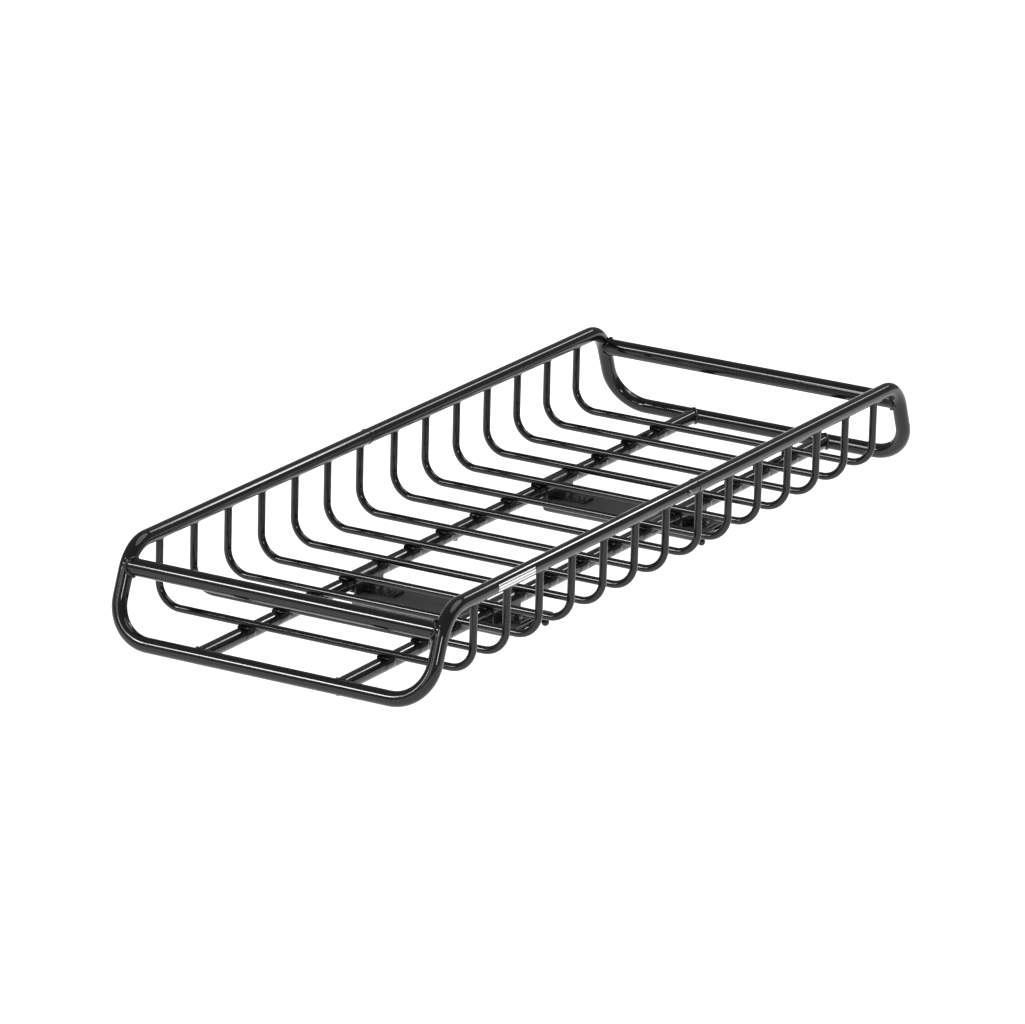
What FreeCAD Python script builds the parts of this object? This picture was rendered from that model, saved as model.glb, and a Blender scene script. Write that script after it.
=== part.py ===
import FreeCAD, Part
import math
import os

import Sketcher

V = FreeCAD.Vector

# Driving dimensions in millimetres. Local heights are measured from the centreline of the
# floor rods; floor_height lifts every piece so that the undersides of the bars stand on z = 0.
DIMENSIONS = [
    ("floor_height", 57.0),
    ("tube_radius", 12.7),
    ("tube_wall", 1.5),
    ("rail_y", 289.0),
    ("rail_z", 121.95),
    ("end_x", 788.8),
    ("end_z", -18.5),
    ("wind_x", 747.4),
    ("wind_z", 90.0),
    ("wind_radius", 14.3),
    ("rail_bend", 60.0),
    ("corner_bend", 66.0),
    ("rod_radius", 6.35),
    ("rod_wall", 1.2),
    ("rod_y", 289.6),
    ("rod_bend", 40.0),
    ("rod_pitch", 100.0),
    ("rod_first", 53.8),
    ("rods_per_half", 7),
    ("spine_y", 129.0),
    ("seam_x", 37.0),
    ("seam_gap", 1.0),
    ("swage_radius", 11.0),
    ("swage_wall", 1.5),
    ("swage_reach", 30.0),
    ("shoulder", 6.0),
    ("rail_screw_x", 2.0),
    ("spine_screw_x", 12.0),
    ("screw_radius", 3.0),
    ("screw_hole_radius", 3.2),
    ("screw_length", 15.0),
    ("screw_head_radius", 5.5),
    ("screw_head_height", 3.2),
    ("screw_head_taper", 25.0),
    ("weld_gap", 0.1),
    ("bar_x", 303.8),
    ("bar_shift", 5.0),
    ("bar_width", 88.0),
    ("bar_height", 20.0),
    ("bar_wall", 2.0),
    ("bar_right_y", -182.0),
    ("bar_left_y", 121.0),
    ("bar_nose_run", 18.0),
    ("bar_nose_rise", 14.0),
    ("bar_top_z", -37.0),
    ("cap_depth", 6.0),
    ("cap_recess", 18.0),
    ("cap_lip", 3.0),
    ("saddle_length", 84.0),
    ("saddle_radius", 16.0),
    ("saddle_sheet", 2.9),
    ("tongue_width", 32.0),
    ("tongue_top_z", -33.0),
    ("left_tongue", 71.0),
    ("right_tongue", 50.0),
    ("left_bolt_near", 29.0),
    ("left_bolt_far", 58.0),
    ("right_bolt_near", 24.0),
    ("right_bolt_far", 40.0),
    ("bolt_radius", 3.0),
    ("bolt_hole_radius", 3.3),
    ("bolt_head_radius", 5.7),
    ("bolt_head_height", 3.8),
    ("washer_radius", 6.4),
    ("washer_height", 1.2),
    ("bolt_reach", 13.0),
    ("cushion_width", 16.0),
    ("cushion_length", 60.0),
    ("ear_length", 36.0),
    ("ear_width", 18.0),
    ("ear_sheet", 3.0),
    ("knob_offset", 49.0),
    ("knob_y", -184.0),
    ("knob_radius", 6.5),
    ("knob_z", -50.5),
    ("knob_screw_radius", 3.0),
    ("knob_hole_radius", 3.3),
    ("keeper_length", 9.0),
    ("keeper_width", 18.0),
    ("keeper_height", 3.0),
]

doc = FreeCAD.newDocument("RoofBasket")
sheet = doc.addObject("Spreadsheet::Sheet", "Sheet")
for row, (alias, value) in enumerate(DIMENSIONS, start=1):
    sheet.set(f"A{row}", alias)
    sheet.set(f"B{row}", str(value))
    sheet.setAlias(f"B{row}", alias)
doc.recompute()


def dim(alias):
    """Value of one driving dimension, read back from the sheet."""
    return float(sheet.get(alias))


nodes = []


def new_body(label, turn=0.0):
    """A body whose label is its node name, lifted to floor_height and turned about Z."""
    body = doc.addObject("PartDesign::Body", label)
    body.Label = label
    body.Placement = FreeCAD.Placement(V(0, 0, 0), FreeCAD.Rotation(V(0, 0, 1), turn))
    body.setExpression("Placement.Base.z", "Sheet.floor_height")
    nodes.append(body)
    return body


def new_sketch(body, name, role, base=(0.0, 0.0, 0.0), rotation=None):
    """A sketch on one of the body's own origin planes; base may hold expressions."""
    sketch = body.newObject("Sketcher::SketchObject", name)
    plane = next(f for f in body.Origin.OriginFeatures if f.Role == role)
    sketch.AttachmentSupport = [(plane, "")]
    sketch.MapMode = "FlatFace"
    numbers = [0.0 if isinstance(part, str) else part for part in base]
    turned = rotation or FreeCAD.Rotation()
    sketch.AttachmentOffset = FreeCAD.Placement(V(*numbers), turned)
    for axis, part in zip("xyz", base):
        if isinstance(part, str):
            sketch.setExpression(f"AttachmentOffset.Base.{axis}", part)
    return sketch


def circle(sketch, radius, x=0.0, y=0.0):
    """A circle whose radius is bound to an expression, centred at (x, y)."""
    index = sketch.addGeometry(Part.Circle(V(x, y, 0), V(0, 0, 1), 5.0), False)
    number = sketch.addConstraint(Sketcher.Constraint("Radius", index, 5.0))
    sketch.setExpression(f"Constraints[{number}]", radius)
    sketch.addConstraint(Sketcher.Constraint("DistanceX", index, 3, x))
    sketch.addConstraint(Sketcher.Constraint("DistanceY", index, 3, y))
    return index


def polygon(sketch, points):
    """A closed outline through the points."""
    count = len(points)
    for i, (x, y) in enumerate(points):
        nx, ny = points[(i + 1) % count]
        sketch.addGeometry(Part.LineSegment(V(x, y, 0), V(nx, ny, 0)), False)
    for i in range(count):
        sketch.addConstraint(Sketcher.Constraint("Coincident", i, 2, (i + 1) % count, 1))


def rectangle(sketch, centre_x, centre_y, width, height):
    """A rectangle centred at (centre_x, centre_y); width and height are expressions."""
    w = doc_value(width) / 2
    d = doc_value(height) / 2
    corners = [(-w, -d), (w, -d), (w, d), (-w, d)]
    polygon(sketch, [(centre_x + x, centre_y + y) for x, y in corners])
    for side, kind in ((0, "Horizontal"), (1, "Vertical"), (2, "Horizontal"), (3, "Vertical")):
        sketch.addConstraint(Sketcher.Constraint(kind, side))
    for name, side, text, value in (("DistanceX", 0, width, 2 * w), ("DistanceY", 1, height, 2 * d)):
        number = sketch.addConstraint(Sketcher.Constraint(name, side, 1, side, 2, value))
        sketch.setExpression(f"Constraints[{number}]", text)
    sketch.addConstraint(Sketcher.Constraint("DistanceX", 0, 1, centre_x - w))
    sketch.addConstraint(Sketcher.Constraint("DistanceY", 0, 1, centre_y - d))


def doc_value(expression):
    """Number an expression of the form Sheet.name or 2 * Sheet.name stands for."""
    factor = 1.0
    if "*" in expression:
        head, expression = (part.strip() for part in expression.split("*"))
        factor = float(head)
    return factor * dim(expression.replace("Sheet.", ""))


def pad(body, sketch, length, reverse=False, both=False):
    """A pad whose length is an expression."""
    feature = body.newObject("PartDesign::Pad", sketch.Name + "Pad")
    feature.Profile = sketch
    feature.Midplane = both
    feature.Reversed = reverse
    feature.setExpression("Length", length)
    return feature


def pocket(body, sketch, length, reverse=False, both=False):
    """A pocket whose depth is an expression."""
    feature = body.newObject("PartDesign::Pocket", sketch.Name + "Pocket")
    feature.Profile = sketch
    feature.Midplane = both
    feature.Reversed = reverse
    feature.setExpression("Length", length)
    return feature


def pipe(body, profile, path, kind="PartDesign::AdditivePipe"):
    """A sweep of a profile sketch along a path sketch, added to the body or cut from it."""
    feature = body.newObject(kind, profile.Name + "Pipe")
    feature.Profile = profile
    feature.Spine = (path, [f"Edge{i + 1}" for i in range(len(path.Geometry))])
    feature.Mode = "Frenet"
    return feature


def tangent_chain(sketch, pieces):
    """Adds lines and arcs, each starting where the one before it ends."""
    for piece in pieces:
        sketch.addGeometry(piece, False)


def arc(centre, radius, start, end):
    """An arc from angle start to angle end (degrees, counter-clockwise)."""
    return Part.ArcOfCircle(
        Part.Circle(V(centre[0], centre[1], 0), V(0, 0, 1), radius),
        math.radians(start),
        math.radians(end),
    )


def line(start, end):
    return Part.LineSegment(V(start[0], start[1], 0), V(end[0], end[1], 0))


# How the end uprights lean: outwards towards the bottom.
LEAN = math.degrees(math.atan2(dim("end_x") - dim("wind_x"), dim("wind_z") - dim("end_z")))
TURN = 90.0 - LEAN
RAIL_TANGENT = dim("rail_bend") * math.tan(math.radians(TURN) / 2)
KNEE_X = -dim("wind_x") + (dim("rail_z") - dim("wind_z")) * math.tan(math.radians(LEAN))
UPRIGHT = (dim("rail_z") - dim("end_z")) / math.cos(math.radians(LEAN)) - RAIL_TANGENT
TUBE_INNER = "Sheet.tube_radius - Sheet.tube_wall"


def rail_pipe(body, name, side, start_x):
    """One side rail with its downward bend, from start_x to the top of the upright."""
    path = new_sketch(body, name + "Path", "XZ_Plane", (0.0, 0.0, f"{-side} * Sheet.rail_y"))
    z = dim("rail_z")
    bend = dim("rail_bend")
    knee = KNEE_X + RAIL_TANGENT
    tangent_chain(path, [line((start_x, z), (knee, z)), arc((knee, z - bend), bend, 90, 90 + TURN)])
    base = (f"{side} * Sheet.rail_y", "Sheet.rail_z", start_x)
    ring = new_sketch(body, name + "Ring", "YZ_Plane", base)
    circle(ring, "Sheet.tube_radius")
    circle(ring, TUBE_INNER)
    pipe(body, ring, path)


def swage(body, name, plane_x, centre, length_left):
    """The reduced tube end that slides into the other half, and its shoulder."""
    base = (centre[0], centre[1], plane_x)
    tip = new_sketch(body, name + "Tip", "YZ_Plane", base)
    circle(tip, "Sheet.swage_radius")
    circle(tip, "Sheet.swage_radius - Sheet.swage_wall")
    pad(body, tip, length_left)
    step = new_sketch(body, name + "Step", "YZ_Plane", base)
    circle(step, "Sheet.tube_radius")
    circle(step, "Sheet.swage_radius - Sheet.swage_wall")
    pad(body, step, "Sheet.shoulder")


MALE_X = -dim("seam_x") - dim("seam_gap") - dim("shoulder")
SWAGE_LENGTH = "Sheet.seam_x + Sheet.seam_gap + Sheet.shoulder + Sheet.swage_reach"


def frame_tube(label, turn):
    """Rails, uprights and cross tube of one half, bent from one tube."""
    body = new_body(label, turn)
    rail_pipe(body, label + "Right", -1, dim("seam_x"))
    lean = FreeCAD.Rotation(V(1, 0, 0), LEAN)
    base = (0.0, "Sheet.end_z", "-Sheet.end_x")
    path = new_sketch(body, label + "CrossPath", "YZ_Plane", base, lean)
    y, r, top = dim("rail_y"), dim("corner_bend"), UPRIGHT
    tangent_chain(
        path,
        [
            line((-y, top), (-y, r)),
            arc((-y + r, r), r, 180, 270),
            line((-y + r, 0), (y - r, 0)),
            arc((y - r, r), r, 270, 360),
            line((y, r), (y, top)),
        ],
    )
    x_top = -dim("end_x") + UPRIGHT * math.sin(math.radians(LEAN))
    z_top = dim("end_z") + UPRIGHT * math.cos(math.radians(LEAN))
    ring = new_sketch(
        body,
        label + "CrossRing",
        "XY_Plane",
        (x_top, "-Sheet.rail_y", z_top),
        FreeCAD.Rotation(V(0, 1, 0), LEAN),
    )
    circle(ring, "Sheet.tube_radius")
    circle(ring, TUBE_INNER)
    pipe(body, ring, path)
    rail_pipe(body, label + "Left", 1, MALE_X)
    swage(body, label + "Swage", MALE_X, ("Sheet.rail_y", "Sheet.rail_z"), SWAGE_LENGTH)
    for side, screw_x in ((-1, dim("rail_screw_x")), (1, -dim("rail_screw_x"))):
        tag = "RightHole" if side < 0 else "LeftHole"
        base = (screw_x, "Sheet.rail_z", f"{-side} * Sheet.rail_y")
        hole = new_sketch(body, label + tag, "XZ_Plane", base)
        circle(hole, "Sheet.screw_hole_radius")
        pocket(body, hole, "Sheet.tube_radius + 1", reverse=side < 0)
    return body


def wind_bar(label, turn):
    """Straight tube across the end, coped onto the bent top of both uprights."""
    body = new_body(label, turn)
    base = ("-Sheet.wind_x", "Sheet.wind_z", 0.0)
    ring = new_sketch(body, label + "Ring", "XZ_Plane", base)
    circle(ring, "Sheet.wind_radius")
    circle(ring, "Sheet.wind_radius - Sheet.tube_wall")
    pad(body, ring, "2 * Sheet.rail_y", both=True)
    z, bend = dim("rail_z"), dim("rail_bend")
    knee = KNEE_X + RAIL_TANGENT
    lean = math.radians(LEAN)
    foot = (knee - bend * math.cos(lean), z - bend + bend * math.sin(lean))
    drop = 2 * dim("wind_radius")
    for side, tag in ((-1, "Right"), (1, "Left")):
        plane = (0.0, 0.0, f"{-side} * Sheet.rail_y")
        path = new_sketch(body, label + tag + "CopePath", "XZ_Plane", plane)
        end = (foot[0] - drop * math.sin(lean), foot[1] - drop * math.cos(lean))
        bent = arc((knee, z - bend), bend, 90, 90 + TURN)
        tangent_chain(path, [line((knee + drop, z), (knee, z)), bent, line(foot, end)])
        base = (f"{side} * Sheet.rail_y", "Sheet.rail_z", knee + drop)
        cope = new_sketch(body, label + tag + "Cope", "YZ_Plane", base)
        circle(cope, "Sheet.tube_radius + Sheet.weld_gap")
        pipe(body, cope, path, "PartDesign::SubtractivePipe")
    return body


def rod_centres():
    """Rod positions along one half, from the middle towards its end."""
    return [dim("rod_first") + dim("rod_pitch") * i for i in range(int(dim("rods_per_half")))]


def spine(label, turn, side, male):
    """Floor tube on one side of one half, coped at the end and notched under each rod."""
    body = new_body(label, turn)
    start_x = -dim("end_x") + 5.0
    end_x = MALE_X if male else dim("seam_x")
    base = (f"{side} * Sheet.spine_y", "Sheet.end_z", start_x)
    ring = new_sketch(body, label + "Ring", "YZ_Plane", base)
    circle(ring, "Sheet.tube_radius")
    circle(ring, TUBE_INNER)
    length = "Sheet.end_x - 5 + Sheet.seam_x"
    if male:
        length = "Sheet.end_x - 5 - Sheet.seam_x - Sheet.seam_gap - Sheet.shoulder"
    pad(body, ring, length)
    if male:
        centre = (f"{side} * Sheet.spine_y", "Sheet.end_z")
        swage(body, label + "Swage", end_x, centre, SWAGE_LENGTH)
    centre = f"{-side} * Sheet.spine_y"
    cope = new_sketch(body, label + "Cope", "XZ_Plane", ("-Sheet.end_x", "Sheet.end_z", centre))
    circle(cope, "Sheet.tube_radius + Sheet.weld_gap")
    pocket(body, cope, "3 * Sheet.tube_radius", both=True)
    seats = new_sketch(body, label + "Seats", "XZ_Plane", (0.0, 0.0, centre))
    for x in rod_centres():
        circle(seats, "Sheet.rod_radius", -x, 0.0)
    pocket(body, seats, "3 * Sheet.tube_radius", both=True)
    screw_x = dim("spine_screw_x") * (1 if male else -1)
    base = (screw_x, f"{side} * Sheet.spine_y", "Sheet.end_z")
    hole = new_sketch(body, label + "Hole", "XY_Plane", base)
    circle(hole, "Sheet.screw_hole_radius")
    pocket(body, hole, "Sheet.tube_radius + 1")
    return body


def rod(label, x):
    """One U of round tube: floor and two uprights, coped to the undersides of the rails."""
    body = new_body(label)
    path = new_sketch(body, label + "Path", "YZ_Plane", (0.0, 0.0, x))
    y, r, top = dim("rod_y"), dim("rod_bend"), dim("rail_z") - 4.0
    tangent_chain(
        path,
        [
            line((-y, top), (-y, r)),
            arc((-y + r, r), r, 180, 270),
            line((-y + r, 0), (y - r, 0)),
            arc((y - r, r), r, 270, 360),
            line((y, r), (y, top)),
        ],
    )
    ring = new_sketch(body, label + "Ring", "XY_Plane", (x, "-Sheet.rod_y", top))
    circle(ring, "Sheet.rod_radius")
    circle(ring, "Sheet.rod_radius - Sheet.rod_wall")
    pipe(body, ring, path)
    cope = new_sketch(body, label + "Cope", "YZ_Plane", (0.0, "Sheet.rail_z", x))
    for side in (-1, 1):
        circle(cope, "Sheet.tube_radius + Sheet.weld_gap", side * dim("rail_y"), 0.0)
    pocket(body, cope, "4 * Sheet.rod_radius", both=True)
    return body


def screw(label, role, base, turn=0.0, reverse=False):
    """Button-head screw: shank into the tube, head outside. Local axis is the plane normal."""
    body = new_body(label, turn)
    head = new_sketch(body, label + "Head", role, base)
    circle(head, "Sheet.screw_head_radius")
    button = pad(body, head, "Sheet.screw_head_height", reverse=reverse)
    button.setExpression("TaperAngle", "-Sheet.screw_head_taper")
    shank = new_sketch(body, label + "Shank", role, base)
    circle(shank, "Sheet.screw_radius")
    pad(body, shank, "Sheet.screw_length", reverse=not reverse)
    return body


def oval(sketch, width, height):
    """Flat-sided oval centred on the sketch origin, with half-round ends."""
    r = height / 2
    w = width / 2 - r
    tangent_chain(
        sketch,
        [
            line((-w, r), (w, r)),
            arc((w, 0), r, -90, 90),
            line((w, -r), (-w, -r)),
            arc((-w, 0), r, 90, 270),
        ],
    )


BAR_Z = dim("bar_top_z") - dim("bar_height") / 2


def crossbar(label, x, bolt_x, inner):
    """Flat-oval hollow bar under both floor tubes, with an ear for the strap screw.

    Its right end is cut off at a slope, so that the open mouth faces outward and down.
    """
    body = new_body(label)
    outline = new_sketch(body, label + "Oval", "XZ_Plane", (x, BAR_Z, "-Sheet.bar_left_y"))
    oval(outline, dim("bar_width"), dim("bar_height"))
    oval(outline, dim("bar_width") - 2 * dim("bar_wall"), dim("bar_height") - 2 * dim("bar_wall"))
    pad(body, outline, "Sheet.bar_left_y - Sheet.bar_right_y")
    base = ("Sheet.bar_right_y", BAR_Z - dim("bar_height") / 2, x)
    nose = new_sketch(body, label + "Nose", "YZ_Plane", base)
    run, rise = dim("bar_nose_run"), dim("bar_nose_rise")
    polygon(nose, [(-run, -rise), (run * 2, -rise), (-run, rise * 2)])
    pocket(body, nose, "2 * Sheet.bar_width", both=True)
    y = dim("knob_y")
    offset = inner * (dim("knob_offset") + dim("ear_width") / 2 - dim("ear_length") / 2)
    ear = new_sketch(body, label + "Ear", "XY_Plane", (0.0, 0.0, "Sheet.bar_top_z"))
    rectangle(ear, x + offset, y, "Sheet.ear_length", "Sheet.ear_width")
    pad(body, ear, "Sheet.ear_sheet")
    hole = new_sketch(body, label + "EarHole", "XY_Plane", (0.0, 0.0, "Sheet.bar_top_z"))
    circle(hole, "Sheet.knob_hole_radius", x + inner * dim("knob_offset"), y)
    pocket(body, hole, "3 * Sheet.ear_sheet", both=True)
    for hand, side in (("left", 1), ("right", -1)):
        holes = new_sketch(body, label + hand + "Holes", "XY_Plane", (0.0, 0.0, "Sheet.bar_top_z"))
        for place in ("near", "far"):
            bolt_y = side * dim("spine_y") - dim(f"{hand}_bolt_{place}")
            circle(holes, "Sheet.bolt_hole_radius", bolt_x, bolt_y)
        pocket(body, holes, "3 * Sheet.bar_wall", both=True)
    return body


def bar_cap(label, x, mouth_y, inward):
    """Plug in the end of a bar, set back inside the mouth or standing just proud of it."""
    body = new_body(label)
    base = (x, BAR_Z, -mouth_y)
    outline = new_sketch(body, label + "Plug", "XZ_Plane", base)
    gap = 0.2
    shrink = 2 * (dim("bar_wall") + gap)
    oval(outline, dim("bar_width") - shrink, dim("bar_height") - shrink)
    pad(body, outline, "Sheet.cap_depth", reverse=inward < 0)
    if inward > 0:
        lip = new_sketch(body, label + "Lip", "XZ_Plane", base)
        oval(lip, dim("bar_width") - 2.0, dim("bar_height") - 2.0)
        pad(body, lip, "Sheet.cap_lip", reverse=True)
    return body


def saddle(label, x, side, reach, near, far):
    """Bent plate over the floor tube with a channel-shaped tongue bolted to the bar."""
    body = new_body(label)
    y = side * dim("spine_y")
    hoop = new_sketch(body, label + "Hoop", "YZ_Plane", (y, "Sheet.end_z", x))
    outer = dim("saddle_radius")
    inner = outer - dim("saddle_sheet")
    foot = dim("bar_top_z") - dim("end_z")
    tangent_chain(
        hoop,
        [
            arc((0, 0), outer, 0, 180),
            line((-outer, 0), (-outer, foot)),
            line((-outer, foot), (-inner, foot)),
            line((-inner, foot), (-inner, 0)),
            arc((0, 0), inner, 0, 180),
            line((inner, 0), (inner, foot)),
            line((inner, foot), (outer, foot)),
            line((outer, foot), (outer, 0)),
        ],
    )
    pad(body, hoop, "Sheet.saddle_length", both=True)
    root_y = y - outer + 1.0
    tongue = new_sketch(body, label + "Tongue", "XZ_Plane", (x, 0.0, -root_y))
    half = dim("tongue_width") / 2
    top, low, t = dim("tongue_top_z"), dim("bar_top_z"), dim("saddle_sheet")
    polygon(
        tongue,
        [
            (-half, low),
            (-half, top),
            (half, top),
            (half, low),
            (half - t, low),
            (half - t, top - t),
            (-half + t, top - t),
            (-half + t, low),
        ],
    )
    pad(body, tongue, f"Sheet.{reach} - Sheet.saddle_radius + 1")
    holes = new_sketch(body, label + "Holes", "XY_Plane", (0.0, 0.0, "Sheet.tongue_top_z"))
    for alias in (near, far):
        circle(holes, "Sheet.bolt_hole_radius", x, y - dim(alias))
    pocket(body, holes, "3 * Sheet.saddle_sheet", both=True)
    return body


def cushion(label, x, side):
    """Rubber block between the floor tube and the bar, inside the saddle."""
    body = new_body(label)
    block = new_sketch(body, label + "Block", "XY_Plane", (0.0, 0.0, "Sheet.bar_top_z"))
    rectangle(block, x, side * dim("spine_y"), "Sheet.cushion_length", "Sheet.cushion_width")
    pad(body, block, "Sheet.end_z - Sheet.bar_top_z")
    hollow = new_sketch(body, label + "Hollow", "YZ_Plane", (side * dim("spine_y"), "Sheet.end_z", x))
    circle(hollow, "Sheet.tube_radius + 2 * Sheet.weld_gap")
    pocket(body, hollow, "Sheet.saddle_length", both=True)
    return body


def hex_bolt(label, x, y):
    """Hexagon bolt with its washer, through a tongue into the top of a bar."""
    body = new_body(label)
    washer = new_sketch(body, label + "Washer", "XY_Plane", (x, y, "Sheet.tongue_top_z"))
    circle(washer, "Sheet.washer_radius")
    pad(body, washer, "Sheet.washer_height")
    base = (x, y, "Sheet.tongue_top_z + Sheet.washer_height")
    head = new_sketch(body, label + "Head", "XY_Plane", base)
    r = dim("bolt_head_radius")
    turns = [math.radians(angle) for angle in range(15, 375, 60)]
    polygon(head, [(r * math.cos(turn), r * math.sin(turn)) for turn in turns])
    pad(body, head, "Sheet.bolt_head_height")
    shank = new_sketch(body, label + "Shank", "XY_Plane", (x, y, "Sheet.tongue_top_z"))
    circle(shank, "Sheet.bolt_radius")
    pad(body, shank, "Sheet.bolt_reach", reverse=True)
    return body


def keeper(label, x, y):
    """Small plate a strap is pinched under, guided by its screw."""
    body = new_body(label)
    base_z = "Sheet.knob_z + Sheet.knob_radius"
    plate = new_sketch(body, label + "Plate", "XY_Plane", (0.0, 0.0, base_z))
    rectangle(plate, x, y, "Sheet.keeper_length", "Sheet.keeper_width")
    pad(body, plate, "Sheet.keeper_height")
    hole = new_sketch(body, label + "Hole", "XY_Plane", (0.0, 0.0, base_z))
    circle(hole, "Sheet.knob_hole_radius", x, y)
    pocket(body, hole, "4 * Sheet.keeper_height", both=True)
    return body


def knob_screw(label, x, y):
    """Round-ended thumb screw: ball below, threaded shank up through the keeper and ear."""
    body = new_body(label)
    profile = new_sketch(body, label + "Profile", "XZ_Plane", (x, 0.0, -y))
    z0, r, s = dim("knob_z"), dim("knob_radius"), dim("knob_screw_radius")
    neck = math.degrees(math.asin(s / r))
    z_neck = z0 + r * math.cos(math.radians(neck))
    top = dim("bar_top_z") + dim("ear_sheet") + 2.0
    tangent_chain(
        profile,
        [
            line((0, z0 - r), (0, top)),
            line((0, top), (s - 0.6, top)),
            line((s - 0.6, top), (s, top - 0.6)),
            line((s, top - 0.6), (s, z_neck)),
            arc((0, z0), r, -90, 90 - neck),
        ],
    )
    turned = body.newObject("PartDesign::Revolution", label + "Turned")
    turned.Profile = profile
    turned.ReferenceAxis = (profile, ["V_Axis"])
    turned.Angle = 360.0
    return body


for name, turn in (("front", 0.0), ("rear", 180.0)):
    frame_tube(f"{name}_frame_tube", turn)
    wind_bar(f"{name}_wind_bar", turn)

spine("front_left_spine", 0.0, 1, False)
spine("front_right_spine", 0.0, -1, True)
spine("rear_right_spine", 180.0, 1, False)
spine("rear_left_spine", 180.0, -1, True)

rod_places = sorted([-x for x in rod_centres()] + rod_centres())
for number, place in enumerate(rod_places, start=1):
    rod(f"rod_{number:02d}", place)

rail_face = dim("rail_y") + dim("tube_radius")
spine_face = dim("end_z") - dim("tube_radius")
screw("rail_screw_right", "XZ_Plane", ("Sheet.rail_screw_x", "Sheet.rail_z", rail_face))
screw("rail_screw_left", "XZ_Plane", ("Sheet.rail_screw_x", "Sheet.rail_z", rail_face), 180.0)
screw("spine_screw_left", "XY_Plane", ("-Sheet.spine_screw_x", "Sheet.spine_y", spine_face), 0.0, True)
screw("spine_screw_right", "XY_Plane", ("-Sheet.spine_screw_x", "Sheet.spine_y", spine_face), 180.0, True)

for name, sign in (("front", -1), ("rear", 1)):
    bolt_x = sign * dim("bar_x")
    bar_x = bolt_x + dim("bar_shift")
    crossbar(f"{name}_crossbar", bar_x, bolt_x, -sign)
    bar_cap(f"{name}_left_cap", bar_x, dim("bar_left_y"), 1)
    bar_cap(f"{name}_right_cap", bar_x, dim("bar_right_y") + dim("cap_recess"), -1)
    for hand, side in (("left", 1), ("right", -1)):
        near, far, reach = f"{hand}_bolt_near", f"{hand}_bolt_far", f"{hand}_tongue"
        saddle(f"{name}_{hand}_saddle", bolt_x, side, reach, near, far)
        cushion(f"{name}_{hand}_cushion", bolt_x, side)
        for tag, alias in (("near", near), ("far", far)):
            bolt_y = side * dim("spine_y") - dim(alias)
            hex_bolt(f"{name}_{hand}_bolt_{tag}", bolt_x, bolt_y)
    screw_x = bar_x - sign * dim("knob_offset")
    keeper(f"{name}_right_keeper", screw_x, dim("knob_y"))
    knob_screw(f"{name}_right_knob", screw_x, dim("knob_y"))

doc.recompute()

for thing in doc.Objects:
    if "Invalid" in thing.State or "Error" in thing.State:
        raise RuntimeError(f"{thing.Label}: {thing.State}")

os.makedirs("parts", exist_ok=True)
for node in nodes:
    if node.Shape.isNull() or not node.Shape.isValid() or len(node.Shape.Solids) != 1:
        raise RuntimeError(f"{node.Label} is not one valid solid")
    node.Shape.exportStep(f"parts/{node.Label}.step")
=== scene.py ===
import math

import bpy
import numpy as np
from mathutils import Matrix, Vector


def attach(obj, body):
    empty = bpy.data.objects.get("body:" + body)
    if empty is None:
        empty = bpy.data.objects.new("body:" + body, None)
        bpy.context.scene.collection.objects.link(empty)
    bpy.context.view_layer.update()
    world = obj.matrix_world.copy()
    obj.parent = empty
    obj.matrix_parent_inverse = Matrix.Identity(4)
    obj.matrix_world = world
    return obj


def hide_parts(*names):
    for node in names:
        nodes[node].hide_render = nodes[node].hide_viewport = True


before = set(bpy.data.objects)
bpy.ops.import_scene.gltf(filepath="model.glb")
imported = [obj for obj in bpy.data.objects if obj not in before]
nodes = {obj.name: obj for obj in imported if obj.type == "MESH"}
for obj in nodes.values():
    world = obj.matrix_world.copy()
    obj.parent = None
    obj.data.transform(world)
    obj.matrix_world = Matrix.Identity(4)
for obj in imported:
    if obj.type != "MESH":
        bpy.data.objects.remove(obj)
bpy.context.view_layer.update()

# Everything below is in metres, in the row frame: +X towards the rear end of the basket,
# +Y to its left side, +Z up, with the undersides of the two bars on z = 0.
MM = 0.001
FLOOR = 57.0 * MM
TUBE_R = 12.7 * MM
ROD_R = 6.35 * MM
RAIL_Y = 289.0 * MM
RAIL_Z = FLOOR + 121.95 * MM
ROD_Y = 289.6 * MM
END_X = 788.8 * MM
END_Z = FLOOR - 18.5 * MM
WIND_X = 747.4 * MM
WIND_Z = FLOOR + 90.0 * MM
WIND_R = 14.3 * MM
SPINE_Y = 129.0 * MM
SEAM_X = 37.0 * MM
ROD_X = [s * (53.8 + 100.0 * i) * MM for s in (-1, 1) for i in range(7)]
LEAN = math.atan2(END_X - WIND_X, WIND_Z - END_Z)


# ---------------------------------------------------------------------------------------
# Mesh builders: a grid of numpy points turned into one closed mesh object.
# ---------------------------------------------------------------------------------------
def grid_faces(rows, cols, start=0):
    """Quads of a grid that is closed along its columns: point (i, j) is start + i*cols + j."""
    i, j = np.meshgrid(np.arange(rows - 1), np.arange(cols), indexing="ij")
    k = (j + 1) % cols
    quads = np.stack([i * cols + j, i * cols + k, (i + 1) * cols + k, (i + 1) * cols + j], -1)
    return (quads.reshape(-1, 4) + start).tolist()


def add_tube(store, rings, caps=True):
    """Adds a tube through rings (rows x cols x 3 points) to store, with flat end caps."""
    rows, cols = rings.shape[:2]
    start = len(store["points"])
    store["points"].extend(rings.reshape(-1, 3).tolist())
    store["faces"].extend(grid_faces(rows, cols, start))
    if caps:
        store["faces"].append([start + j for j in range(cols)][::-1])
        store["faces"].append([start + (rows - 1) * cols + j for j in range(cols)])


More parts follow.
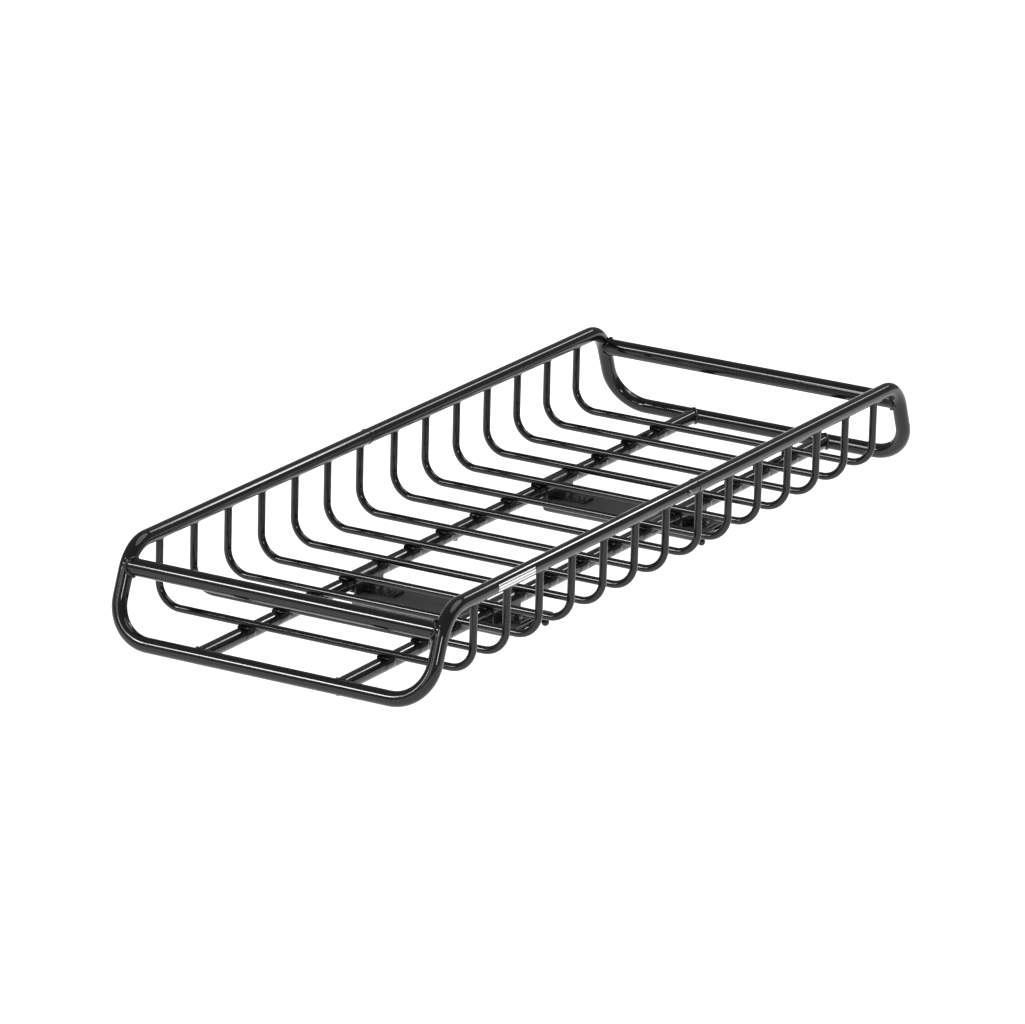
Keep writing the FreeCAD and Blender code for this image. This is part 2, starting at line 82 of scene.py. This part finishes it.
def make_object(name, store, smooth_angle=40.0):
    """Makes the mesh object, smooth shaded, with sharp edges kept above smooth_angle."""
    mesh = bpy.data.meshes.new(name)
    mesh.from_pydata(store["points"], [], store["faces"])
    mesh.update()
    piece = bpy.data.objects.new(name, mesh)
    bpy.context.scene.collection.objects.link(piece)
    mesh.shade_smooth()
    mesh.set_sharp_from_angle(angle=math.radians(smooth_angle))
    return piece


def frames_along(path):
    """Unit tangents of a path and two unit vectors across it, carried without twist."""
    step = np.gradient(path, axis=0)
    tangent = step / np.linalg.norm(step, axis=1, keepdims=True)
    side = np.cross(tangent[0], [0.0, 0.0, 1.0])
    if np.linalg.norm(side) < 1e-6:
        side = np.cross(tangent[0], [1.0, 0.0, 0.0])
    sides = [side / np.linalg.norm(side)]
    for t in tangent[1:]:
        s = sides[-1] - t * np.dot(sides[-1], t)
        sides.append(s / np.linalg.norm(s))
    sides = np.array(sides)
    return tangent, sides, np.cross(tangent, sides)


BEAD_PITCH = 1.7 * MM
SWELL = 0.12
SWELL_LENGTH = 5.0 * MM
TAPER_RUN = 1.5 * MM
TAPER_LEAST = 0.25
ANY_PHASE = 6.28


def add_bead(store, path, radius, ripple, rng, cols=10):
    """Weld bead: a tube round path whose radius is radius*(1 + ripple*sin(2 pi s / pitch)).

    s is the length run along the path and pitch is the spacing of the weld's ripples. The
    radius also swells slowly along the bead and tapers off at its two ends.
    """
    path = np.asarray(path)
    _, side, up = frames_along(path)
    run = np.concatenate([[0.0], np.cumsum(np.linalg.norm(np.diff(path, axis=0), axis=1))])
    wave = 1.0 + ripple * np.sin(2 * math.pi * run / BEAD_PITCH + rng.uniform(0, ANY_PHASE))
    wave *= 1.0 + SWELL * np.sin(run / SWELL_LENGTH + rng.uniform(0, ANY_PHASE))
    taper = np.clip(np.minimum(run, run[-1] - run) / TAPER_RUN, TAPER_LEAST, 1.0)
    r = (radius * wave * np.sqrt(taper))[:, None, None]
    a = np.linspace(0, 2 * math.pi, cols, endpoint=False)[None, :, None]
    rings = path[:, None, :] + r * (np.cos(a) * side[:, None, :] + np.sin(a) * up[:, None, :])
    add_tube(store, rings)


def new_store():
    """An empty list of points and faces to add tubes to."""
    return {"points": [], "faces": []}


# ---------------------------------------------------------------------------------------
# Shader groups shared by the materials. They give only masks, colours and heights.
# ---------------------------------------------------------------------------------------
def group(name, inputs, outputs):
    """A shader node group with float inputs and outputs; returns (tree, input, output)."""
    tree = bpy.data.node_groups.new(name, "ShaderNodeTree")
    for label, kind, default in inputs:
        socket = tree.interface.new_socket(label, in_out="INPUT", socket_type=kind)
        if default is not None:
            socket.default_value = default
    for label, kind in outputs:
        tree.interface.new_socket(label, in_out="OUTPUT", socket_type=kind)
    return tree, tree.nodes.new("NodeGroupInput"), tree.nodes.new("NodeGroupOutput")


def peel_group():
    """Orange peel and fine grain of a baked powder coat: a height and a gloss mask."""
    tree, enter, leave = group(
        "PowderPeel",
        [("Position", "NodeSocketVector", None), ("Scale", "NodeSocketFloat", 420.0)],
        [("Height", "NodeSocketFloat"), ("Gloss", "NodeSocketFloat")],
    )
    peel = tree.nodes.new("ShaderNodeTexNoise")
    peel.inputs["Detail"].default_value = 2.0
    tree.links.new(enter.outputs["Position"], peel.inputs["Vector"])
    tree.links.new(enter.outputs["Scale"], peel.inputs["Scale"])
    smear = tree.nodes.new("ShaderNodeTexNoise")
    smear.inputs["Scale"].default_value = 23.0
    smear.inputs["Detail"].default_value = 3.0
    tree.links.new(enter.outputs["Position"], smear.inputs["Vector"])
    tree.links.new(peel.outputs["Fac"], leave.inputs["Height"])
    tree.links.new(smear.outputs["Fac"], leave.inputs["Gloss"])
    return tree


def dust_group():
    """Faint dust mask: patches of position noise, scaled by Amount."""
    tree, enter, leave = group(
        "FaintDust",
        [("Position", "NodeSocketVector", None), ("Amount", "NodeSocketFloat", 0.05)],
        [("Mask", "NodeSocketFloat")],
    )
    noise = tree.nodes.new("ShaderNodeTexNoise")
    noise.inputs["Scale"].default_value = 60.0
    noise.inputs["Detail"].default_value = 5.0
    tree.links.new(enter.outputs["Position"], noise.inputs["Vector"])
    ramp = tree.nodes.new("ShaderNodeMapRange")
    ramp.inputs["From Min"].default_value = 0.5
    ramp.inputs["From Max"].default_value = 0.75
    tree.links.new(noise.outputs["Fac"], ramp.inputs["Value"])
    scale = tree.nodes.new("ShaderNodeMath")
    scale.operation = "MULTIPLY"
    tree.links.new(ramp.outputs["Result"], scale.inputs[0])
    tree.links.new(enter.outputs["Amount"], scale.inputs[1])
    tree.links.new(scale.outputs["Value"], leave.inputs["Mask"])
    return tree


PEEL = peel_group()
DUST = dust_group()


def coated(name, colour, rough, spread, bump, scale=420.0, metallic=0.0, dust=0.04, ior=1.42):
    """A procedural finish: colour broken by faint dust, gloss by smears, surface by peel."""
    material = bpy.data.materials.new(name)
    material.use_nodes = True
    tree = material.node_tree
    tree.nodes.clear()
    out = tree.nodes.new("ShaderNodeOutputMaterial")
    shader = tree.nodes.new("ShaderNodeBsdfPrincipled")
    shader.inputs["Metallic"].default_value = metallic
    shader.inputs["IOR"].default_value = ior
    place = tree.nodes.new("ShaderNodeTexCoord")
    peel = tree.nodes.new("ShaderNodeGroup")
    peel.node_tree = PEEL
    peel.inputs["Scale"].default_value = scale
    tree.links.new(place.outputs["Object"], peel.inputs["Position"])
    dusty = tree.nodes.new("ShaderNodeGroup")
    dusty.node_tree = DUST
    dusty.inputs["Amount"].default_value = dust
    tree.links.new(place.outputs["Object"], dusty.inputs["Position"])
    mix = tree.nodes.new("ShaderNodeMix")
    mix.data_type = "RGBA"
    mix.inputs["A"].default_value = (*colour, 1.0)
    mix.inputs["B"].default_value = (*[min(1.0, c * 1.6 + 0.02) for c in colour], 1.0)
    tree.links.new(dusty.outputs["Mask"], mix.inputs["Factor"])
    tree.links.new(mix.outputs["Result"], shader.inputs["Base Color"])
    gloss = tree.nodes.new("ShaderNodeMapRange")
    gloss.inputs["From Min"].default_value = 0.3
    gloss.inputs["From Max"].default_value = 0.7
    gloss.inputs["To Min"].default_value = rough - spread
    gloss.inputs["To Max"].default_value = rough + spread
    tree.links.new(peel.outputs["Gloss"], gloss.inputs["Value"])
    tree.links.new(gloss.outputs["Result"], shader.inputs["Roughness"])
    relief = tree.nodes.new("ShaderNodeBump")
    relief.inputs["Strength"].default_value = bump
    relief.inputs["Distance"].default_value = 0.0001
    tree.links.new(peel.outputs["Height"], relief.inputs["Height"])
    tree.links.new(relief.outputs["Normal"], shader.inputs["Normal"])
    tree.links.new(shader.outputs["BSDF"], out.inputs["Surface"])
    return material


def paint(names, material):
    """Makes material the only one on each of the CAD nodes (by name) or pieces."""
    for name in names:
        piece = nodes[name] if isinstance(name, str) else name
        piece.data.materials.clear()
        piece.data.materials.append(material)


def named(*endings):
    """CAD node names that end in any of the endings."""
    return [n for n in nodes if n.endswith(endings)]


# ---------------------------------------------------------------------------------------
# Painted tubes: gloss black powder coat over welded steel tube. The rails, end tubes, wind
# bars and floor rods keep their CAD shapes; the finish is a thick, slightly uneven gloss.
# ---------------------------------------------------------------------------------------
gloss_black = coated("GlossBlack", (0.0060, 0.0061, 0.0064), 0.09, 0.02, 0.006)
paint(named("_frame_tube", "_wind_bar"), gloss_black)
rod_black = coated("RodBlack", (0.0065, 0.0066, 0.0069), 0.10, 0.02, 0.006)
paint([n for n in nodes if n.startswith("rod_")], rod_black)

# ---------------------------------------------------------------------------------------
# Saddles: pressed plates over the floor tubes, in a gloss black coat a little duller than the
# tubes' all over.
# ---------------------------------------------------------------------------------------
saddle_black = coated("SaddleBlack", (0.0070, 0.0071, 0.0075), 0.20, 0.04, 0.14, scale=300.0)
paint(named("_saddle"), saddle_black)

# ---------------------------------------------------------------------------------------
# Bars: flat-oval tubes in satin black, with moulded plugs in their ends.
# ---------------------------------------------------------------------------------------
bar_black = coated("BarSatin", (0.030, 0.0305, 0.0315), 0.30, 0.05, 0.10, scale=500.0)
paint(named("_crossbar"), bar_black)
plug_black = coated("PlugMoulded", (0.009, 0.009, 0.0095), 0.55, 0.06, 0.30, scale=900.0)
paint(named("_cap"), plug_black)

# ---------------------------------------------------------------------------------------
# Rubber cushions between floor tubes and bars.
# ---------------------------------------------------------------------------------------
rubber = coated("CushionRubber", (0.012, 0.012, 0.012), 0.70, 0.08, 0.40, scale=700.0)
paint(named("_cushion"), rubber)

# ---------------------------------------------------------------------------------------
# Screws, bolts, strap keepers and thumb screws: blackened steel and gloss black plastic.
# ---------------------------------------------------------------------------------------
zinc_black = coated("BlackZinc", (0.15, 0.15, 0.153), 0.28, 0.06, 0.12, scale=800.0, metallic=0.9)
paint([n for n in nodes if "_screw_" in n] + [n for n in nodes if "_bolt_" in n], zinc_black)
keeper_black = coated("KeeperSatin", (0.014, 0.014, 0.015), 0.35, 0.05, 0.18)
paint(named("_keeper"), keeper_black)
knob_black = coated("KnobGloss", (0.008, 0.008, 0.009), 0.12, 0.02, 0.05)
paint(named("_knob"), knob_black)


# ---------------------------------------------------------------------------------------
# Floor tubes: 25 mm tubes pressed in from above where each rod crosses, so that the rod
# sits in a dished seat with the tube's sides bulging out; end to end slip joint at mid-length.
# ---------------------------------------------------------------------------------------
SEAT_REACH = 17.0 * MM
SEAT_FLANK = 9.0 * MM
TOP_FLAT = 0.55 * MM
SEAT_DEPTH = 4.2 * MM
SEAT_DISH = 1.0 * MM
SEAT_BULGE = 0.11
BULGE_Z = 2.0 * MM
BULGE_SPREAD = 9.0 * MM
ROUND_LEFT = 0.12
COARSE_STEP = 4.0 * MM
FINE_STEPS = 20
SPINE_SIDES = 48
SPINE_INSET = 6.0 * MM
SEAM_GAP = 1.0 * MM


def seat_depth(x, centres):
    """1 at each rod, falling to 0 over the press mark: flat bottom, smooth flanks."""
    gap = np.min(np.abs(x[:, None] - np.asarray(centres)[None, :]), axis=1)
    t = np.clip((SEAT_REACH - gap) / SEAT_FLANK, 0.0, 1.0)
    return t * t * (3.0 - 2.0 * t)


def floor_tube(name, side, x0, x1, centres):
    """Surface (x, y, z) = axis + R(a)*(cos a, sin a), R lowered to the seat plane near rods.

    Above the plane z = R - 0.55 mm - 4.2 mm * mask the tube is pressed nearly flat and dished
    by 1 mm, and its flanks move out by up to 11 % of R. Rings are 1 mm apart near the rods.
    """
    samples = set(np.round(np.arange(x0, x1, COARSE_STEP), 6)) | {x1}
    for c in centres:
        for d in range(-FINE_STEPS, FINE_STEPS + 1):
            x = c + d * MM
            if x0 < x < x1:
                samples.add(round(float(x), 6))
    xs = np.array(sorted(samples))
    mask = seat_depth(xs, centres)
    a = np.linspace(0, 2 * math.pi, SPINE_SIDES, endpoint=False)
    rings = np.zeros((len(xs), SPINE_SIDES, 3))
    for i, (x, m) in enumerate(zip(xs, mask)):
        y = TUBE_R * np.cos(a)
        z = TUBE_R * np.sin(a)
        top = TUBE_R - TOP_FLAT - SEAT_DEPTH * m
        over = np.clip(z - top, 0.0, None)
        if m > 0:
            dish = SEAT_DISH * m * (1.0 - (y / TUBE_R) ** 2)
            z = np.where(z > top, top - dish + ROUND_LEFT * over, z)
            y = y * (1.0 + SEAT_BULGE * m * np.exp(-(((z - BULGE_Z) / BULGE_SPREAD) ** 2)))
        rings[i, :, 0] = x
        rings[i, :, 1] = side * SPINE_Y + y
        rings[i, :, 2] = END_Z + z
    store = new_store()
    add_tube(store, rings)
    return make_object(name, store, 35.0)


spine_black = coated("SpineBlack", (0.0060, 0.0061, 0.0064), 0.09, 0.02, 0.006)
SPINES = [
    ("front_left_spine", 1, -END_X + SPINE_INSET, SEAM_X),
    ("front_right_spine", -1, -END_X + SPINE_INSET, -SEAM_X - SEAM_GAP),
    ("rear_right_spine", -1, -SEAM_X, END_X - SPINE_INSET),
    ("rear_left_spine", 1, SEAM_X + SEAM_GAP, END_X - SPINE_INSET),
]
for label, side, x0, x1 in SPINES:
    inside = [c for c in ROD_X if x0 < c < x1]
    tube = floor_tube(f"{label}_pressed", side, x0, x1, inside)
    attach(tube, "basket")
    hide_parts(label)
    paint([tube], spine_black)


# ---------------------------------------------------------------------------------------
# Welds: rippled beads where rods meet the rails and floor tubes, round both ends of each
# wind bar and where the floor tubes meet the end tubes, all under the same black coat.
# ---------------------------------------------------------------------------------------
weld_black = coated("WeldBlack", (0.0065, 0.0066, 0.0070), 0.06, 0.03, 0.30, scale=260.0)

# Radius and ripple (a share of the radius) of each kind of bead.
ROD_BEAD = (1.5 * MM, 0.10)
SEAT_BEAD = (2.6 * MM, 0.24)
WIND_BEAD = (3.3 * MM, 0.22)
END_BEAD = (2.8 * MM, 0.20)
THICK_BEAD_SIDES = 12
THICK_BEAD_STEPS = 56

SEAT_WELD_HALF = 9.0 * MM
SEAT_WELD_POINTS = 22
SEAT_WELD_FLANK = 5.6 * MM
SEAT_WELD_Z = FLOOR - 6.6 * MM
SEAT_WELD_SAG = 1.0 * MM
WIND_BEAD_INSIDE = 2.2 * MM
WIND_BEAD_INSET = 1.4 * MM
WIND_BEAD_SPREAD = 1.20
END_BEAD_SHARE = 0.985


def ring_on_tube(centre, axis, small, big, big_axis, steps=40):
    """Where a tube of radius small meets one of radius big: circle pushed onto the big tube."""
    centre, axis, big_axis = (Vector(v) for v in (centre, axis, big_axis))
    axis.normalize()
    big_axis.normalize()
    across = axis.cross(big_axis).normalized()
    points = []
    for k in range(steps + 1):
        a = 2 * math.pi * k / steps
        u = small * math.cos(a)
        v = small * math.sin(a)
        drop = math.sqrt(max(big * big - v * v, 0.0))
        points.append(centre - axis * drop + across * v + big_axis * u)
    return np.array([list(p) for p in points])


def rod_welds(name, xs):
    """Fillets round each rod's top under the rail, both sides."""
    rng = np.random.default_rng(len(name))
    store = new_store()
    for x in xs:
        for side in (-1, 1):
            centre = (x, side * ROD_Y, RAIL_Z)
            ring = ring_on_tube(centre, (0, 0, 1), ROD_R, TUBE_R, (1, 0, 0))
            add_bead(store, ring, *ROD_BEAD, rng)
    return make_object(name, store, 60.0)


def seat_welds(name, side, xs):
    """Two short lumpy beads along each rod where it lies in the floor tube's seat."""
    rng = np.random.default_rng(7 + len(name) + side)
    store = new_store()
    for x in xs:
        for flank in (-1, 1):
            y = np.linspace(-SEAT_WELD_HALF, SEAT_WELD_HALF, SEAT_WELD_POINTS)
            path = np.zeros((SEAT_WELD_POINTS, 3))
            path[:, 0] = x + flank * SEAT_WELD_FLANK
            path[:, 1] = side * SPINE_Y + y
            path[:, 2] = SEAT_WELD_Z - SEAT_WELD_SAG * (y / SEAT_WELD_HALF) ** 2
            add_bead(store, path, *SEAT_BEAD, rng, cols=THICK_BEAD_SIDES)
    return make_object(name, store, 60.0)


def wind_welds(name, sign):
    """A heavy bead round each end of a wind bar, on the uprights."""
    rng = np.random.default_rng(31 + sign)
    store = new_store()
    lean_axis = (-sign * math.sin(LEAN), 0.0, math.cos(LEAN))
    for side in (-1, 1):
        centre = (sign * WIND_X, side * RAIL_Y, WIND_Z)
        small = WIND_R - WIND_BEAD_INSIDE
        ring = ring_on_tube(centre, (0, side, 0), small, TUBE_R, lean_axis, THICK_BEAD_STEPS)
        ring[:, 1] -= side * WIND_BEAD_INSET
        ring[:, 0] = sign * WIND_X + (ring[:, 0] - sign * WIND_X) * WIND_BEAD_SPREAD
        ring[:, 2] = WIND_Z + (ring[:, 2] - WIND_Z) * WIND_BEAD_SPREAD
        add_bead(store, ring, *WIND_BEAD, rng, cols=THICK_BEAD_SIDES)
    return make_object(name, store, 60.0)


def end_welds(name, sign):
    """Beads where the two floor tubes meet the end tube."""
    rng = np.random.default_rng(53 + sign)
    store = new_store()
    for side in (-1, 1):
        centre = (sign * END_X, side * SPINE_Y, END_Z)
        small = TUBE_R * END_BEAD_SHARE
        ring = ring_on_tube(centre, (sign, 0, 0), small, TUBE_R, (0, 1, 0), THICK_BEAD_STEPS)
        add_bead(store, ring, *END_BEAD, rng, cols=THICK_BEAD_SIDES)
    return make_object(name, store, 60.0)


weld_pieces = []
for half, sign in (("front", -1), ("rear", 1)):
    xs = [x for x in ROD_X if x * sign > 0]
    weld_pieces.append((rod_welds(f"{half}_rail_welds", xs), "rod"))
    weld_pieces.append((wind_welds(f"{half}_wind_welds", sign), "wind_bar"))
    weld_pieces.append((end_welds(f"{half}_end_welds", sign), "spine"))
    for hand, side in (("left", 1), ("right", -1)):
        weld_pieces.append((seat_welds(f"{half}_{hand}_seat_welds", side, xs), "spine"))
for piece, slot_name in weld_pieces:
    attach(piece, "basket")
    paint([piece], weld_black)


# ---------------------------------------------------------------------------------------
# Rail sockets: a small rolled lip at the open end of each rail that slides over the other
# half, on the right rail of the front half and the left rail of the rear half.
# ---------------------------------------------------------------------------------------
LIP_R = 0.9 * MM
LIP_OUT = 0.1 * MM
LIP_BACK = 0.5 * MM


def socket_lip(name, sign):
    """Torus round the rail: R = tube radius + 0.1 mm, r = 0.9 mm, 0.5 mm short of the seam."""
    ring_steps, cols = 64, 12
    t = np.linspace(0, 2 * math.pi, ring_steps + 1)[:, None]
    a = np.linspace(0, 2 * math.pi, cols, endpoint=False)[None, :]
    reach = TUBE_R + LIP_OUT + LIP_R * np.cos(a)
    rings = np.stack(
        [
            sign * (SEAM_X - LIP_BACK) + LIP_R * np.sin(a) + 0 * t,
            -sign * RAIL_Y + reach * np.cos(t),
            RAIL_Z + reach * np.sin(t),
        ],
        -1,
    )
    store = new_store()
    store["points"].extend(rings[:-1].reshape(-1, 3).tolist())
    wrap = [
        [v % (ring_steps * cols) for v in quad] for quad in grid_faces(ring_steps + 1, cols)
    ]
    store["faces"].extend(wrap)
    return make_object(name, store, 60.0)


for label, sign in (("front_socket_lip", 1), ("rear_socket_lip", -1)):
    lip = socket_lip(label, sign)
    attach(lip, "basket")
    paint([lip], gloss_black)


# ---------------------------------------------------------------------------------------
# Rail badge: a plain silver transfer of parallel stripes, without any lettering, on the
# outer face of the right rail.
# ---------------------------------------------------------------------------------------
STRIPE_RINGS = 40
STRIPE_THICK = 0.12 * MM
BADGE_X = (-598.0 * MM, -487.0 * MM)
STRIPE_ANGLES = ((-24, -9), (-3, 13), (19, 29))


def stripe(store, x0, x1, low, high):
    """A patch of tube skin: (x, R cos a, R sin a) for a from low to high, 0.12 mm thick."""
    a = np.radians([low, (low + high) / 2, high])
    outline = [(angle, TUBE_R) for angle in a]
    outline += [(angle, TUBE_R + STRIPE_THICK) for angle in a[::-1]]
    rings = np.zeros((STRIPE_RINGS, len(outline), 3))
    xs = np.linspace(x0, x1, STRIPE_RINGS)
    for j, (angle, r) in enumerate(outline):
        rings[:, j, 0] = xs
        rings[:, j, 1] = -RAIL_Y - r * math.cos(angle)
        rings[:, j, 2] = RAIL_Z + r * math.sin(angle)
    add_tube(store, rings)


badge_store = new_store()
for low, high in STRIPE_ANGLES:
    stripe(badge_store, *BADGE_X, low, high)
badge = make_object("rail_badge", badge_store, 30.0)
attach(badge, "basket")
silver = coated("BadgeSilver", (0.86, 0.86, 0.85), 0.35, 0.04, 0.05, scale=600.0, dust=0.02)
paint([badge], silver)

# ---------------------------------------------------------------------------------------
# Studio: glowing white floor and an even grey sky. Distant keys and two disk lights are
# placed for the highlight lines along the tubes, with a wide fill from above.
# ---------------------------------------------------------------------------------------
FLOOR_HALF = 30.0
FLOOR_DROP = 0.5 * MM
floor_mesh = bpy.data.meshes.new("studio_floor")
corners = [(u * FLOOR_HALF, v * FLOOR_HALF, 0.0) for u, v in ((-1, -1), (1, -1), (1, 1), (-1, 1))]
floor_mesh.from_pydata(corners, [], [(0, 1, 2, 3)])
studio_floor = bpy.data.objects.new("studio_floor", floor_mesh)
bpy.context.scene.collection.objects.link(studio_floor)
studio_floor.location.z = -FLOOR_DROP
floor_paint = bpy.data.materials.new("StudioFloor")
floor_paint.use_nodes = True
floor_shader = floor_paint.node_tree.nodes["Principled BSDF"]
floor_shader.inputs["Base Color"].default_value = (0.30, 0.30, 0.30, 1.0)
floor_shader.inputs["Roughness"].default_value = 0.9
floor_shader.inputs["Emission Color"].default_value = (1.0, 1.0, 1.0, 1.0)
floor_shader.inputs["Emission Strength"].default_value = 1.15
floor_mesh.materials.append(floor_paint)

world = bpy.data.worlds.new("Studio")
world.use_nodes = True
world.node_tree.nodes["Background"].inputs["Color"].default_value = (0.27, 0.27, 0.275, 1.0)
world.node_tree.nodes["Background"].inputs["Strength"].default_value = 1.0
bpy.context.scene.world = world

# Name, strength, apparent width in degrees, direction towards the light.
SUNS = (
    ("FarKey", 0.11, 8.0, (0.823, -0.137, 0.551)),
    ("NearKey", 0.52, 11.0, (-0.657, 0.481, 0.581)),
    ("EndKey", 0.42, 9.0, (-0.645, -0.720, 0.259)),
    ("EndFill", 0.44, 25.0, (-0.920, 0.150, 0.365)),
    ("LeftCornerKey", 0.30, 11.0, (-0.800, 0.330, 0.500)),
    ("RightCornerKey", 0.45, 11.0, (-0.700, 0.620, 0.360)),
    ("TopFill", 1.20, 45.0, (0.350, -0.350, 0.870)),
)
for label, energy, width, toward in SUNS:
    key = bpy.data.lights.new(label, "SUN")
    key.energy = energy
    key.angle = math.radians(width)
    key_object = bpy.data.objects.new(label, key)
    key_object.rotation_euler = Vector(toward).to_track_quat("Z", "Y").to_euler()
    bpy.context.scene.collection.objects.link(key_object)

# Name, power in watts, width, the point it shines on, direction towards the light.
DISKS = (
    ("FarBox", 7.4, 0.42, (-0.45, -0.10, 0.10), (0.823, -0.137, 0.551)),
    ("NearBox", 20.0, 0.66, (-0.76, 0.00, 0.10), (-0.657, 0.481, 0.581)),
)
DISK_DISTANCE = 3.0
for label, energy, width, aim, toward in DISKS:
    box = bpy.data.lights.new(label, "AREA")
    box.shape = "DISK"
    box.size = width
    box.energy = energy
    box_object = bpy.data.objects.new(label, box)
    box_object.location = Vector(aim) + DISK_DISTANCE * Vector(toward)
    box_object.rotation_euler = Vector(toward).to_track_quat("Z", "Y").to_euler()
    bpy.context.scene.collection.objects.link(box_object)

scene = bpy.context.scene
scene.view_settings.view_transform = "Standard"

# ---------------------------------------------------------------------------------------
# Camera: long lens from the front right corner, a little above.
# ---------------------------------------------------------------------------------------
camera = bpy.data.cameras.new("Camera")
camera.sensor_width = 36.0
camera.lens = 263.03
camera.clip_end = 100.0
camera_object = bpy.data.objects.new("Camera", camera)
right = Vector((0.51077, -0.85938, 0.02410))
down = Vector((-0.24868, -0.17452, -0.95273))
forward = Vector((0.82297, 0.48063, -0.30285))
turn = Matrix((right, -down, -forward)).transposed()
place = Matrix.Translation(Vector((-10.0889, -5.8644, 3.7430 + FLOOR)))
camera_object.matrix_world = place @ turn.to_4x4()
bpy.context.scene.collection.objects.link(camera_object)
scene.camera = camera_object
